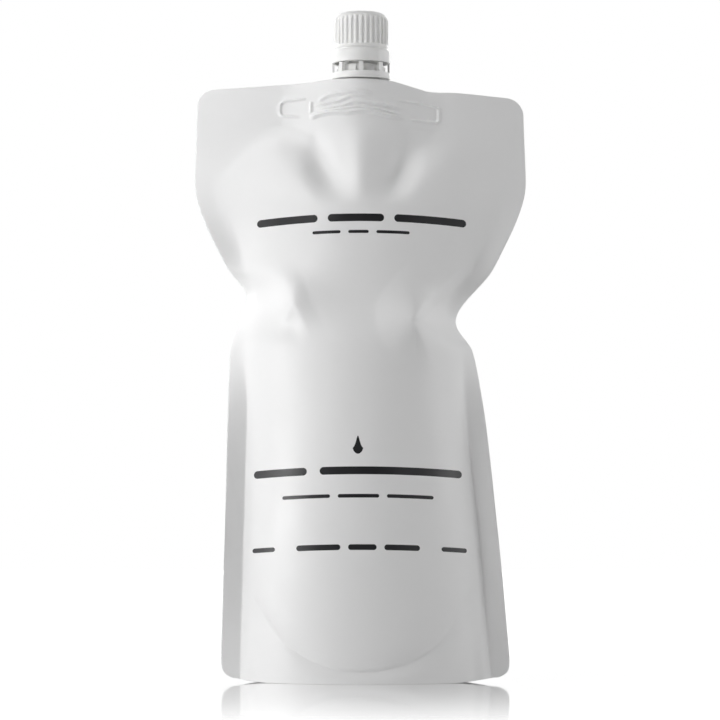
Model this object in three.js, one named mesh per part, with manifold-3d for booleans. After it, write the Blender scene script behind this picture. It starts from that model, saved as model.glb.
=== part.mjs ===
// Hand soap refill pack: a filled stand-up film pouch with a pour spout, a screw cap and its tamper band.
// Millimetres, +Z up, front towards -Y. The origin is the middle of the foot, on the surface it stands on.
import * as THREE from "three";
import { mergeVertices } from "three/addons/utils/BufferGeometryUtils.js";
import Module from "manifold-3d";

const wasm = await Module();
wasm.setup();
const { lerp, smoothstep, clamp, degToRad } = THREE.MathUtils;

// Pouch outline seen from the front: half widths from the spout axis, waist heights from the top edge
const POUCH_HEIGHT = 236.6;
const WING_TAPER = 1; // how much narrower the wings are at the top edge
const SHOULDER_DROP = 38; // below the top edge, where the flat wings are full width
const BODY_HEIGHT = 62; // above the foot, where the body is fullest
const LEFT = { foot: 55.4, body: 53.4, hip: 51.8, waist: 45, flare: 53.2, wing: 66.4 };
const LEFT_WAIST_DROP = 84.6;
const LEFT_HIP_DROP = 21; // hip below the waist
const LEFT_FLARE_RISE = 11.5; // flare above the waist
const RIGHT = { foot: 59.2, body: 53.4, hip: 44.8, waist: 37.4, flare: 52.6, wing: 65.6 };
const RIGHT_WAIST_DROP = 94.6;
const RIGHT_HIP_DROP = 12.5;
const RIGHT_FLARE_RISE = 21;
const TOP_CORNER = 6;
const FOOT_CORNER = 5;
const FOOT_CORNER_LIFT = 1.8;
const FOOT_LEVEL = 0.65; // share of the foot that stays level between its corners

// Film and seals
const FILM = 0.3; // half of a side seal, which is two films
const SIDE_SEAL = 7.9;
const SEAL_TURN = 24; // degrees the side seals turn forwards at the hips
const WAIST_TURN = 62; // and back again at the waist, where they lie in line with the flanks
const TURN_REACH = 38; // how far below the waist they turn
const TURN_RISE = 55; // above the foot, where they have turned forwards
const FUNNEL_DROP = 6; // below the shoulders, where the seal bends in towards the weld
const FUNNEL_CURVE = 1.6; // the seal's inner edge from there to the weld, 2 is an ellipse

// Bottom gusset, folded up between the two films
const GUSSET_RISE = 39; // its seal at the side seals
const GUSSET_FOOT = 5; // and at the middle of the foot
const GUSSET_CURVE = 2.3;
const GUSSET_REACH = 0.96; // share of the width that is open below
const GUSSET_FLAT = 0.35; // share of the width that the soap presses flat on the floor
const GUSSET_SAG = 1.3; // sag of the gusset in its own height, at the middle
const GUSSET_END_SAG = 0.45; // and at the ends
const GUSSET_CREASE = 1.5; // depth of the groove along the gusset's seal
const CREASE_REACH = 3;
const SKIRT_WALL = 0.8;

// Belly: half depths from the middle plane
const FOOT_DEPTH = 23.8;
const BODY_DEPTH = 26;
const HIP_DEPTH = 24.4;
const WAIST_DEPTH = 20;
const CHEST_DEPTH = 16.3;
const CHEST_DROP = 51; // below the top edge, where the ridge under the spout runs out
const PILLOW_DEPTH = 10.3; // soft pillows either side of the ridge
const PILLOW_DROP = 31;
const BODY_ARCH = 0.85; // 0.5 is a round section, 1 a parabola, more a soft foot
const WING_ARCH = 1.35;

// Waist, where the full body squeezes the film into two knuckles
const KNUCKLE = 0.66; // share of the half section that stays flat
const WAIST_REACH = 13;
const WAIST_SQUARE = 0.85;
const KNUCKLE_ROUNDING = 0.06; // rounding of the knuckle at the waist
const FAN_ROUNDING = 1.3; // and where its folds have fanned out
const FAN_REACH = 1.4; // in waist reaches

// Ridge and valleys below the spout, and the curl of the wings
const VALLEY = 0.85; // how far the belly sinks beside the ridge
const VALLEY_REACH = 15; // from the edge of the ridge
const VALLEY_RISE = 0.5; // share of the way up to the weld where the valleys are full depth
const RIDGE_TIP = 3; // half width of the ridge where it runs out
const RIDGE_ROUNDING = 4.5;
const RIDGE_EASE = 0.2; // how gently the ridge's flanks run out at their foot
const CURL_CURVE = 1.3;
const LEFT_CURL = 14;
const LEFT_CURL_START = 12; // from the spout axis
const RIGHT_CURL = 9;
const RIGHT_CURL_START = 34;
const WING_DROOP = 0.05; // fall of the top edge along each wing
const WELD_TILT = 0.0186; // slope of the weld down to the right
const DROOP_ROUNDING = 15;
const RIGHT_DROP = 2; // step down of the top edge on the right of the spout
const RIGHT_DROP_START = 9; // from the spout axis
const RIGHT_DROP_END = 28;

// Spout: weld base, collar and neck
const CLEARANCE = 0.3;
const BASE_HALF_LENGTH = 19.5;
const BASE_HALF_DEPTH = 8.6;
const BASE_RIBS = 4;
const RIB_STEP = 0.7; // how far the weld ribs stand out of the base
const NECK_RADIUS = 7.6;
const NECK_WALL = 2.1;
const COLLAR_STEP = 1.2; // collar outside the neck
const BEAD_STEP = 1.5; // ratchet ring outside the neck, which holds the tamper band down
const BEAD_HEIGHT = 4.6;
const TOOTH_LENGTH = 3.4; // ratchet teeth on the ring
const TOOTH_HEIGHT = 3.2;
const EDGE = 0.5; // chamfer on moulded edges

// Weld of the film on the base
const WELD_HEIGHT = 10.6;
const WELD_DROP = 5.4; // top edge of the film down to the weld
const WELD_MARGIN = 6.5; // flat film at the ends of the base
const JAW_MARGIN = 5; // and on to the ends of the welding jaws
const JAW_RELIEF = 0.25;
const JAW_EDGE = 0.8;
const WELD_RIB = 0.3;

// Tamper band and cap
const THREAD_SPACE = 1.5; // between the neck and the inside of the cap
const CAP_WALL = 1.7;
const CAP_HEIGHT = 20.2;
const CAP_TOP = 2;
const CAP_ROUNDING = 4;
const SKIRT_STEP = 0.8; // skirt and band outside the fluted side
const SKIRT_HEIGHT = 5;
const GROOVE_DEPTH = 0.25; // groove above the skirt
const GROOVE_HEIGHT = 0.7;
const FLUTES = 32;
const FLUTE_RADIUS = 0.7;
const FLUTE_OFFSET = 0.05; // flute axes outside the cap's side
const FLUTE_FOOT = 2; // above the skirt
const FLUTE_RUNOUT = 2.4; // into the rounded top edge
const PLUG_WALL = 0.9;
const PLUG_DEPTH = 3.5;
const BAND_WALL = 1.3;
const BAND_RING = 2.6;
const BAND_LIFT = 1; // above the film's top edge
const BAND_LIP = 0.9;
const BRIDGES = 8;
const BRIDGE_WIDTH = 1.2;
const BRIDGE_HEIGHT = 3.6;
const BRIDGE_ROOT = 0.5; // overlap of a bridge with the ring

// Fineness of the facets
const SKIRT_ROWS = [0, 0.045, 0.13, 0.4, 0.75, 0.94]; // shares of the way up to the gusset's seal
const HEEL_ROWS = [0, 0.1, 0.3, 0.55, 0.8]; // and from there up to level rows
const HEEL_RISE = 12;
const BODY_ROWS = 6;
const WAIST_ROWS = 11;
const CHEST_ROWS = 12;
const WELD_ROWS = 12;
const TOP_ROWS = [0, 0.35, 0.68, 0.9, 1];
const WELD_COLUMNS = 8;
const WING_COLUMNS = 6;
const SEAL_COLUMNS = 3;
const COLUMN_TURN = 1.3; // radians of arc that the columns of the round body share
const GUSSET_STEPS = 26;
const FOLD_STEPS = 12;
const BOAT_STEPS = 9;
const ROUND_STEPS = 40;
const ROUNDING_STEPS = 5;
const FLUTE_STEPS = 8;

// Worked-out heights
const weldTop = POUCH_HEIGHT - WELD_DROP;
const weldFoot = weldTop - WELD_HEIGHT;
const chestHeight = POUCH_HEIGHT - CHEST_DROP;
const shoulderHeight = POUCH_HEIGHT - SHOULDER_DROP;
const funnelFoot = shoulderHeight - FUNNEL_DROP;
const leftWaist = POUCH_HEIGHT - LEFT_WAIST_DROP;
const rightWaist = POUCH_HEIGHT - RIGHT_WAIST_DROP;
const waistHeight = (leftWaist + rightWaist) / 2;
const hipHeight = Math.min(leftWaist - LEFT_HIP_DROP, rightWaist - RIGHT_HIP_DROP);
const flareHeight = Math.max(leftWaist + LEFT_FLARE_RISE, rightWaist + RIGHT_FLARE_RISE);
const bandFoot = POUCH_HEIGHT + BAND_LIFT;
const bandTop = bandFoot + BAND_RING;
const bridgeTop = bandTop + BRIDGE_HEIGHT;
const beadFoot = bandFoot + BAND_LIP + 2 * CLEARANCE;
const capFoot = bridgeTop + CLEARANCE;
const skirtTop = capFoot + SKIRT_HEIGHT;
const capTop = capFoot + CAP_HEIGHT;
const capCeiling = capTop - CAP_TOP;
const neckTop = capCeiling - CLEARANCE;

// Worked-out widths
const weldHalfLength = BASE_HALF_LENGTH + WELD_MARGIN;
const jawHalfLength = weldHalfLength + JAW_MARGIN;
const boreRadius = NECK_RADIUS - NECK_WALL;
const collarRadius = NECK_RADIUS + COLLAR_STEP;
const beadRadius = NECK_RADIUS + BEAD_STEP;
const capInside = NECK_RADIUS + THREAD_SPACE;
const capRadius = capInside + CAP_WALL;
const bandRadius = capRadius + SKIRT_STEP;
const bandInside = bandRadius - BAND_WALL;
const toothRadius = bandInside - 2 * CLEARANCE;
const spoutHalfDepth = Math.max(BASE_HALF_DEPTH, collarRadius) + CLEARANCE + SKIRT_WALL;

// Smooth curve through [height, value] stations that never overshoots them
function throughStations(stations) {
  const slope = (i) => (stations[i + 1][1] - stations[i][1]) / (stations[i + 1][0] - stations[i][0]);
  const last = stations.length - 2;
  const tangents = stations.map((_, i) => {
    const before = slope(Math.max(0, i - 1));
    const after = slope(Math.min(last, i));
    return before * after > 0 ? (2 * before * after) / (before + after) : 0;
  });
  return (height) => {
    const above = stations.findIndex(([h]) => h > height);
    const i = above < 0 ? last : Math.max(0, above - 1);
    const [h0, v0] = stations[i];
    const [h1, v1] = stations[i + 1];
    const span = h1 - h0;
    const t = clamp((height - h0) / span, 0, 1);
    const rise = v0 + (v1 - v0) * t * t * (3 - 2 * t);
    return rise + span * t * (1 - t) * (tangents[i] * (1 - t) - tangents[i + 1] * t);
  };
}

// Half width of one free edge of the film up the pouch
function edgeCurve(side, waist, hipDrop, flareRise) {
  return throughStations([
    [0, side.foot],
    [BODY_HEIGHT, side.body],
    [waist - hipDrop, side.hip],
    [waist, side.waist],
    [waist + flareRise, side.flare],
    [shoulderHeight, side.wing],
    [POUCH_HEIGHT, side.wing - WING_TAPER],
  ]);
}

const leftEdge = edgeCurve(LEFT, leftWaist, LEFT_HIP_DROP, LEFT_FLARE_RISE);
const rightEdge = edgeCurve(RIGHT, rightWaist, RIGHT_HIP_DROP, RIGHT_FLARE_RISE);

// Half depths up the middle of the body, and on up the ridge to the spout
const bodyDepths = [
  [0, FOOT_DEPTH],
  [BODY_HEIGHT, BODY_DEPTH],
  [hipHeight, HIP_DEPTH],
  [waistHeight, WAIST_DEPTH],
  [chestHeight, CHEST_DEPTH],
];
const spoutLine = throughStations([
  ...bodyDepths,
  [weldFoot, spoutHalfDepth],
  [POUCH_HEIGHT, spoutHalfDepth],
]);

// The belly follows the spout line up to the chest, then sinks to the flat seal beside the weld
const bellyDepth = throughStations([
  ...bodyDepths,
  [POUCH_HEIGHT - PILLOW_DROP, PILLOW_DEPTH],
  [weldFoot, 0],
  [POUCH_HEIGHT, 0],
]);

// How far a rounded corner takes the edge back, at a distance from the corner's tip
function cornerInset(radius, toTip) {
  const reach = clamp(radius - toTip, 0, radius);
  return radius - Math.sqrt(radius * radius - reach * reach);
}

// Half widths of one side: the free edge of the film, the inner edge of its seal and the end of the belly
function sideWidths(side, height) {
  const edge = side < 0 ? leftEdge(height) : rightEdge(height);
  const aboveWaist = height - (side < 0 ? leftWaist : rightWaist);
  const toWaist = aboveWaist / (aboveWaist < 0 ? TURN_REACH : WAIST_REACH);
  const hips = smoothstep(height, 0, TURN_RISE) - smoothstep(height, hipHeight, shoulderHeight);
  const turn = degToRad(lerp(SEAL_TURN * hips, -WAIST_TURN, Math.exp(-toWaist * toWaist)));
  const inner = edge - SIDE_SEAL * Math.cos(turn);
  const t = clamp((height - funnelFoot) / (weldFoot - funnelFoot), 0, 1);
  const belly = lerp(weldHalfLength, inner, (1 - t ** FUNNEL_CURVE) ** (1 / FUNNEL_CURVE));
  const topInset = cornerInset(TOP_CORNER, POUCH_HEIGHT - height);
  const footInset = cornerInset(FOOT_CORNER, Math.max(0, height - FOOT_CORNER_LIFT));
  return { inner, belly, outer: edge - topInset - footInset, forwards: SIDE_SEAL * Math.sin(turn) };
}

// How far the flat wings curl back
function wingCurl(x, height) {
  const curl = x < 0 ? LEFT_CURL : RIGHT_CURL;
  const start = x < 0 ? LEFT_CURL_START : RIGHT_CURL_START;
  const out = Math.max(0, (Math.abs(x) - start) / (RIGHT.wing - start));
  return curl * out ** CURL_CURVE * smoothstep(height, waistHeight, weldFoot);
}

// Height of the bottom gusset seal across the belly, u from -1 to 1
function gussetSeal(u) {
  return GUSSET_FOOT + (GUSSET_RISE - GUSSET_FOOT) * Math.abs(u) ** GUSSET_CURVE;
}

// Height of the foot's edge, which lifts a little at the corners
function footEdge(x) {
  return FOOT_CORNER_LIFT * smoothstep(Math.abs(x), FOOT_LEVEL * LEFT.foot, LEFT.foot);
}

// The smaller of two values, with their corner rounded over a reach
function softMin(a, b, reach) {
  const near = Math.max(0, reach - Math.abs(a - b)) / reach;
  return Math.min(a, b) - (near * near * reach) / 4;
}

// How far the film stands out of the seal plane at x, within the half widths of that side
function bulge(x, height, widths) {
  const u = Math.min(1, Math.abs(x) / widths.belly);
  const arch = (1 - u * u) ** lerp(BODY_ARCH, WING_ARCH, smoothstep(height, hipHeight, shoulderHeight));
  const across = smoothstep(x, -RIGHT.waist, RIGHT.waist);
  const toWaist = (height - lerp(leftWaist, rightWaist, across)) / WAIST_REACH;
  const fan = lerp(KNUCKLE_ROUNDING, FAN_ROUNDING, smoothstep(Math.abs(toWaist), 0, FAN_REACH));
  const squeezed = softMin(1, (1 - u) / (1 - KNUCKLE), fan);
  const section = lerp(arch, squeezed, WAIST_SQUARE * Math.exp(-toWaist * toWaist));

  const up = clamp((height - chestHeight) / (weldFoot - chestHeight), 0, 1);
  const valley = VALLEY * smoothstep(up, 0, VALLEY_RISE);
  const ridgeHalfWidth = lerp(RIDGE_TIP, weldHalfLength, up);
  const besideRidge = smoothstep(Math.abs(x), ridgeHalfWidth / 2, ridgeHalfWidth + VALLEY_REACH);
  const belly = bellyDepth(height) * section * (1 - valley * (1 - besideRidge));
  const toRidge = Math.hypot(x, RIDGE_ROUNDING) - RIDGE_ROUNDING;
  const flank = Math.max(0, 1 - toRidge / ridgeHalfWidth);
  const ridgeSection = ((1 + RIDGE_EASE) * flank * flank) / (flank + RIDGE_EASE);
  const ridge = (spoutLine(height) - bellyDepth(height) * (1 - valley)) * ridgeSection;

  const crease = (height - gussetSeal(x / widths.inner)) / CREASE_REACH;
  const groove = GUSSET_CREASE * Math.exp(-crease * crease) * arch;
  return Math.max(0, belly + ridge - groove);
}

// The wings droop away from the spout, and the weld slopes a little
function droop(x, height) {
  const fall = WING_DROOP * (Math.hypot(x, DROOP_ROUNDING) - DROOP_ROUNDING) + WELD_TILT * x;
  const step = RIGHT_DROP * smoothstep(x, RIGHT_DROP_START, RIGHT_DROP_END);
  return -(fall + step) * smoothstep(height, chestHeight, weldFoot);
}

// Relief of the weld jaws on both films
function weldRelief(x, height) {
  if (height < weldFoot || height > weldTop || Math.abs(x) > jawHalfLength) return 0;
  const ribs = Math.max(0, 1 - (x / weldHalfLength) ** 2);
  const wave = Math.cos((2 * Math.PI * BASE_RIBS * (height - weldFoot)) / WELD_HEIGHT);
  return JAW_RELIEF - WELD_RIB * ribs * wave;
}

function solidOf(geometry) {
  const bare = geometry.clone();
  bare.deleteAttribute("normal");
  bare.deleteAttribute("uv");
  const merged = mergeVertices(bare, 1e-4);
  return new wasm.Manifold(
    new wasm.Mesh({
      numProp: 3,
      vertProperties: new Float32Array(merged.attributes.position.array),
      triVerts: new Uint32Array(merged.index.array),
    }),
  );
}

function geometryOf(solid) {
  const mesh = solid.getMesh();
  const geometry = new THREE.BufferGeometry();
  geometry.setAttribute("position", new THREE.BufferAttribute(mesh.vertProperties, 3));
  geometry.setIndex(new THREE.BufferAttribute(mesh.triVerts, 1));
  geometry.computeVertexNormals();
  return geometry;
}

// Closed skin over rings that run up the front and down the back, with both end rings closed rung by rung
function loft(rings) {
  const points = rings.flat();
  const count = rings[0].length;
  const triangles = [];
  for (let r = 0; r + 1 < rings.length; r++) {
    for (let i = 0; i < count; i++) {
      const a = r * count + i;
      const b = r * count + ((i + 1) % count);
      const rising = points[a].distanceTo(points[b + count]) < points[b].distanceTo(points[a + count]);
      if (rising) triangles.push(a, b + count, b, a, a + count, b + count);
      else triangles.push(a, a + count, b, b, a + count, b + count);
    }
  }
  const lastRing = (rings.length - 1) * count;
  for (let front = 0; 2 * front < count - 2; front++) {
    const back = count - 1 - front;
    triangles.push(front, front + 1, back);
    triangles.push(lastRing + front, lastRing + back, lastRing + front + 1);
    if (front + 1 < back - 1) {
      triangles.push(front + 1, back - 1, back);
      triangles.push(lastRing + front + 1, lastRing + back, lastRing + back - 1);
    }
  }
  const geometry = new THREE.BufferGeometry().setFromPoints(points);
  geometry.setIndex(triangles);
  return geometry;
}

// Rows of the film from the foot to the top edge, as heights at a share u of the belly
function filmRows() {
  const heelTop = GUSSET_RISE + HEEL_RISE;
  const rows = SKIRT_ROWS.map((t) => (u, x) => lerp(footEdge(x), gussetSeal(u), t));
  rows.push(...HEEL_ROWS.map((t) => (u) => lerp(gussetSeal(u), heelTop, t)));
  const level = (from, to, steps) => {
    for (let i = 0; i < steps; i++) rows.push(() => lerp(from, to, i / steps));
  };
  level(heelTop, hipHeight, BODY_ROWS);
  level(hipHeight, flareHeight, WAIST_ROWS);
  level(flareHeight, weldFoot - JAW_EDGE, CHEST_ROWS);
  level(weldFoot - JAW_EDGE, weldFoot, 1);
  level(weldFoot, weldTop, WELD_ROWS);
  level(weldTop, weldTop + JAW_EDGE, 1);
  rows.push(...TOP_ROWS.map((t) => () => lerp(weldTop + JAW_EDGE, POUCH_HEIGHT, t)));
  return rows;
}

// Columns of the film from the left edge to the right, each as a share of the belly or of the side seal.
// Beside the weld they gather at the ends of the jaws.
function filmColumns() {
  const jaw = jawHalfLength / (RIGHT.wing - SIDE_SEAL);
  const jawEdge = (jawHalfLength + JAW_EDGE) / (RIGHT.wing - SIDE_SEAL);
  const count = WELD_COLUMNS + WING_COLUMNS;
  const half = [];
  for (let i = 1; i <= count; i++) {
    const onBody = Math.sin((i / count) * COLUMN_TURN) / Math.sin(COLUMN_TURN);
    const onWeld = (jaw * i) / WELD_COLUMNS;
    const besideWeld = lerp(jawEdge, 1, (i - WELD_COLUMNS - 1) / (WING_COLUMNS - 1));
    half.push({ belly: true, onBody, onWing: i <= WELD_COLUMNS ? onWeld : besideWeld });
  }
  for (let i = 1; i <= SEAL_COLUMNS; i++) {
    half.push({ belly: false, onBody: i / SEAL_COLUMNS, onWing: i / SEAL_COLUMNS });
  }
  return [
    ...half.toReversed().map((column) => ({ ...column, side: -1 })),
    { belly: true, onBody: 0, onWing: 0, side: 1 },
    ...half.map((column) => ({ ...column, side: 1 })),
  ];
}

// One point of the film: front is -1 for the front film, 1 for the back
function filmPoint(row, column, front) {
  const foot = sideWidths(column.side, 0);
  const footX = column.side * (column.belly ? column.onBody * foot.inner : foot.outer);
  const height = row(column.belly ? column.onBody : 1, footX);
  const share = lerp(column.onBody, column.onWing, smoothstep(height, flareHeight, weldFoot));
  const widths = sideWidths(column.side, height);
  const x = column.side * (column.belly ? share * widths.inner : lerp(widths.inner, widths.outer, share));
  const turned = column.belly ? 0 : widths.forwards * share;
  const out = FILM + weldRelief(x, height) + (column.belly ? bulge(x, height, widths) : 0);
  return new THREE.Vector3(x, wingCurl(x, height) - turned + front * out, height + droop(x, height));
}

// Skin of the whole pouch: both films, joined along the side, top and foot edges
function pouchSkin() {
  const rows = filmRows();
  const columns = filmColumns();
  const rings = columns.map((column) => {
    const frontFilm = rows.map((row) => filmPoint(row, column, -1));
    const backFilm = rows.map((row) => filmPoint(row, column, 1));
    return [...frontFilm, ...backFilm.toReversed()];
  });
  return loft(rings);
}

// Space under the bottom gusset, between the skirts of the two films
function gussetSpace() {
  const below = -1; // under the floor, so that the cut is open
  const rings = [];
  for (let i = 0; i <= GUSSET_STEPS; i++) {
    const u = lerp(-GUSSET_REACH, GUSSET_REACH, i / GUSSET_STEPS);
    const seal = gussetSeal(u);
    const wall = (share) => {
      const height = seal * share;
      const widths = sideWidths(u < 0 ? -1 : 1, height);
      const x = u * widths.inner;
      return { x, depth: Math.max(FILM, bulge(x, height, widths) - SKIRT_WALL), height };
    };
    const foot = wall(0);
    const middle = wall(0.5);
    const top = wall(1);
    const sag = lerp(GUSSET_SAG, GUSSET_END_SAG, smoothstep(Math.abs(u), GUSSET_FLAT, GUSSET_REACH));
    const fold = [];
    for (let j = 1; j < FOLD_STEPS; j++) {
      const t = j / FOLD_STEPS;
      const height = Math.max(below / 2, seal * (1 - sag * Math.sin(Math.PI * t)));
      fold.push(new THREE.Vector3(top.x, lerp(-top.depth, top.depth, t), height));
    }
    rings.push([
      new THREE.Vector3(foot.x, -foot.depth, below),
      new THREE.Vector3(middle.x, -middle.depth, middle.height),
      new THREE.Vector3(top.x, -top.depth, top.height),
      ...fold,
      new THREE.Vector3(top.x, top.depth, top.height),
      new THREE.Vector3(middle.x, middle.depth, middle.height),
      new THREE.Vector3(foot.x, foot.depth, below),
    ]);
  }
  return loft(rings);
}

// Boat-shaped plan of the spout's weld base
function boatPlan(halfLength, halfDepth) {
  const plan = new THREE.Shape();
  plan.moveTo(-halfLength, 0);
  plan.quadraticCurveTo(0, -2 * halfDepth, halfLength, 0);
  plan.quadraticCurveTo(0, 2 * halfDepth, -halfLength, 0);
  return plan;
}

function boat(halfLength, halfDepth, from, to) {
  const geometry = new THREE.ExtrudeGeometry(boatPlan(halfLength, halfDepth), {
    depth: to - from,
    bevelEnabled: false,
    curveSegments: BOAT_STEPS,
  });
  return geometry.translate(0, 0, from);
}

function upright(radius, from, to, sides = ROUND_STEPS) {
  const geometry = new THREE.CylinderGeometry(radius, radius, to - from, sides);
  return geometry.rotateX(Math.PI / 2).translate(0, 0, (from + to) / 2);
}

// Turned solid from [radius, height] points
function turned(points) {
  const profile = points.map(([radius, height]) => new THREE.Vector2(radius, height));
  return new THREE.LatheGeometry(profile, ROUND_STEPS).rotateX(Math.PI / 2);
}

// Copies of a geometry turned around the spout axis, the first turned by a share of their pitch
function around(geometry, count, shift) {
  const turn = (i) => (2 * Math.PI * (i + shift)) / count;
  return Array.from({ length: count }, (_, i) => solidOf(geometry.clone().rotateZ(turn(i))));
}

function makePouch() {
  const baseLength = BASE_HALF_LENGTH + 2 * CLEARANCE;
  const baseDepth = BASE_HALF_DEPTH + CLEARANCE;
  const basePocket = boat(baseLength, baseDepth, weldFoot - CLEARANCE, weldTop + CLEARANCE);
  const collarPocket = upright(collarRadius + CLEARANCE, weldTop, bandFoot);
  let solid = solidOf(pouchSkin());
  for (const space of [gussetSpace(), basePocket, collarPocket]) {
    solid = solid.subtract(solidOf(space));
  }
  return geometryOf(solid);
}

// Ratchet tooth on the ring, which lets the band turn one way only
function ratchetTooth() {
  const plan = new THREE.Shape();
  plan.moveTo(-TOOTH_LENGTH / 2, -(NECK_RADIUS - EDGE));
  plan.lineTo(TOOTH_LENGTH / 2, -(NECK_RADIUS - EDGE));
  plan.lineTo(TOOTH_LENGTH / 2, -toothRadius);
  plan.lineTo(-TOOTH_LENGTH / 2, -(beadRadius - EDGE));
  const tooth = new THREE.ExtrudeGeometry(plan, { depth: TOOTH_HEIGHT, bevelEnabled: false });
  return tooth.translate(0, 0, beadFoot);
}

function makeSpout() {
  const neck = turned([
    [0, weldTop - EDGE],
    [collarRadius, weldTop - EDGE],
    [collarRadius, POUCH_HEIGHT],
    [NECK_RADIUS, POUCH_HEIGHT + EDGE],
    [NECK_RADIUS, beadFoot],
    [beadRadius, beadFoot],
    [beadRadius, beadFoot + BEAD_HEIGHT - EDGE],
    [NECK_RADIUS, beadFoot + BEAD_HEIGHT],
    [NECK_RADIUS, neckTop - EDGE],
    [NECK_RADIUS - EDGE, neckTop],
    [0, neckTop],
  ]);
  const base = boat(BASE_HALF_LENGTH - RIB_STEP, BASE_HALF_DEPTH - RIB_STEP, weldFoot, weldTop);
  let solid = solidOf(neck).add(solidOf(base));
  const ribPitch = WELD_HEIGHT / BASE_RIBS;
  for (let i = 0; i < BASE_RIBS; i++) {
    const from = weldFoot + ribPitch * (i + 1 / 4);
    solid = solid.add(solidOf(boat(BASE_HALF_LENGTH, BASE_HALF_DEPTH, from, from + ribPitch / 2)));
  }
  for (const tooth of around(ratchetTooth(), BRIDGES, 1 / 2)) solid = solid.add(tooth);
  const bore = upright(boreRadius, weldFoot - EDGE, neckTop + EDGE);
  return geometryOf(solid.subtract(solidOf(bore)));
}

function makeBand() {
  const lipInside = NECK_RADIUS + 2 * CLEARANCE;
  const ring = turned([
    [lipInside, bandFoot],
    [bandRadius, bandFoot],
    [bandRadius, bandTop],
    [bandInside, bandTop],
    [bandInside, bandFoot + BAND_LIP],
    [lipInside, bandFoot + BAND_LIP],
    [lipInside, bandFoot],
  ]);
  const bridgeLength = BRIDGE_HEIGHT + BRIDGE_ROOT;
  const bridge = new THREE.BoxGeometry(BRIDGE_WIDTH, BAND_WALL - CLEARANCE, bridgeLength);
  bridge.translate(0, -(bandRadius + bandInside) / 2, bridgeTop - bridgeLength / 2);
  let solid = solidOf(ring);
  for (const copy of around(bridge, BRIDGES, 0)) solid = solid.add(copy);
  return geometryOf(solid);
}

// Rounded top edge of the cap, from its side to its top
function capShoulder() {
  return Array.from({ length: ROUNDING_STEPS + 1 }, (_, i) => {
    const angle = (Math.PI / 2) * (i / ROUNDING_STEPS);
    const radius = capRadius - CAP_ROUNDING * (1 - Math.cos(angle));
    return [radius, capTop - CAP_ROUNDING * (1 - Math.sin(angle))];
  });
}

function makeCap() {
  const plugRadius = boreRadius - CLEARANCE;
  const plugFoot = capCeiling - PLUG_DEPTH;
  const body = turned([
    [bandInside, capFoot],
    [bandRadius, capFoot],
    [bandRadius, skirtTop - EDGE],
    [bandRadius - EDGE, skirtTop],
    [capRadius - GROOVE_DEPTH, skirtTop + GROOVE_DEPTH],
    [capRadius - GROOVE_DEPTH, skirtTop + GROOVE_HEIGHT],
    [capRadius, skirtTop + GROOVE_HEIGHT + GROOVE_DEPTH],
    ...capShoulder(),
    [0, capTop],
    [0, capCeiling],
    [plugRadius - PLUG_WALL, capCeiling],
    [plugRadius - PLUG_WALL, plugFoot],
    [plugRadius - EDGE, plugFoot],
    [plugRadius, plugFoot + EDGE],
    [plugRadius, capCeiling],
    [capInside, capCeiling],
    [capInside, skirtTop],
    [bandInside, skirtTop - CAP_WALL],
    [bandInside, capFoot],
  ]);
  const fluteTop = capTop - CAP_ROUNDING + FLUTE_RUNOUT;
  const flute = upright(FLUTE_RADIUS, skirtTop + FLUTE_FOOT, fluteTop, FLUTE_STEPS);
  flute.translate(0, -(capRadius + FLUTE_OFFSET), 0);
  let solid = solidOf(body);
  for (const copy of around(flute, FLUTES, 1 / 2)) solid = solid.subtract(copy);
  return geometryOf(solid);
}

function named(name, geometry, colour, roughness) {
  const material = new THREE.MeshStandardMaterial({ color: colour, roughness, metalness: 0 });
  const mesh = new THREE.Mesh(geometry, material);
  mesh.name = name;
  return mesh;
}

const pack = new THREE.Group();
pack.add(named("pouch", makePouch(), 0xf1f1f0, 0.42));
pack.add(named("spout", makeSpout(), 0xeeeeec, 0.35));
pack.add(named("tamper_band", makeBand(), 0xf0f0ef, 0.38));
pack.add(named("cap", makeCap(), 0xf0f0ef, 0.38));

export default pack;
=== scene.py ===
"""Looks of a hand soap refill pack: satin white film pouch, pour spout, tamper band and screw cap.

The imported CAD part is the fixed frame, in metres, +Z up, front towards -Y. Sizes below are in millimetres.
"""

import math

import bpy
import numpy as np
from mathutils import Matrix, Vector, noise


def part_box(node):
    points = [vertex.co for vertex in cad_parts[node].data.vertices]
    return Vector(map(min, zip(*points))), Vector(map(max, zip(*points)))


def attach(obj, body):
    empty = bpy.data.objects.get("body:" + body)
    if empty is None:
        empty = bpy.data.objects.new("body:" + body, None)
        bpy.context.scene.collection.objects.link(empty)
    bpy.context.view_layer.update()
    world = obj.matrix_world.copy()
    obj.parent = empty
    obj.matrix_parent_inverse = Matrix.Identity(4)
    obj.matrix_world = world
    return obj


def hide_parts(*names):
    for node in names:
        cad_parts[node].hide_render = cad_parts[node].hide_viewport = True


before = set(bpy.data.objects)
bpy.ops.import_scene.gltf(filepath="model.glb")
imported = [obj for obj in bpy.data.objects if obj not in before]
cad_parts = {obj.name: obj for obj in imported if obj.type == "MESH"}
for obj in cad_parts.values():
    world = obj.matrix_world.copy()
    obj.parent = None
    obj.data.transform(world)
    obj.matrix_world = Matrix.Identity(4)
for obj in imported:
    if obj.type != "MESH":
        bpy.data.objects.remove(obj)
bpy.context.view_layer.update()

MM = 0.001
MERGE_DISTANCE = 0.002  # points closer than this are one point

# Camera of the photograph, in metres: a long lens just above the floor, looking up a little
CAMERA_PLACE = (-0.0004, -1.3, 0.058)
CAMERA_AIM = (-0.0004, 0.0, 0.1266)
VIEW_WIDTH = 0.2837  # width of the picture at the pack's middle plane
SENSOR = 36.0  # millimetres
CAMERA_NEAR = 0.01

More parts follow.
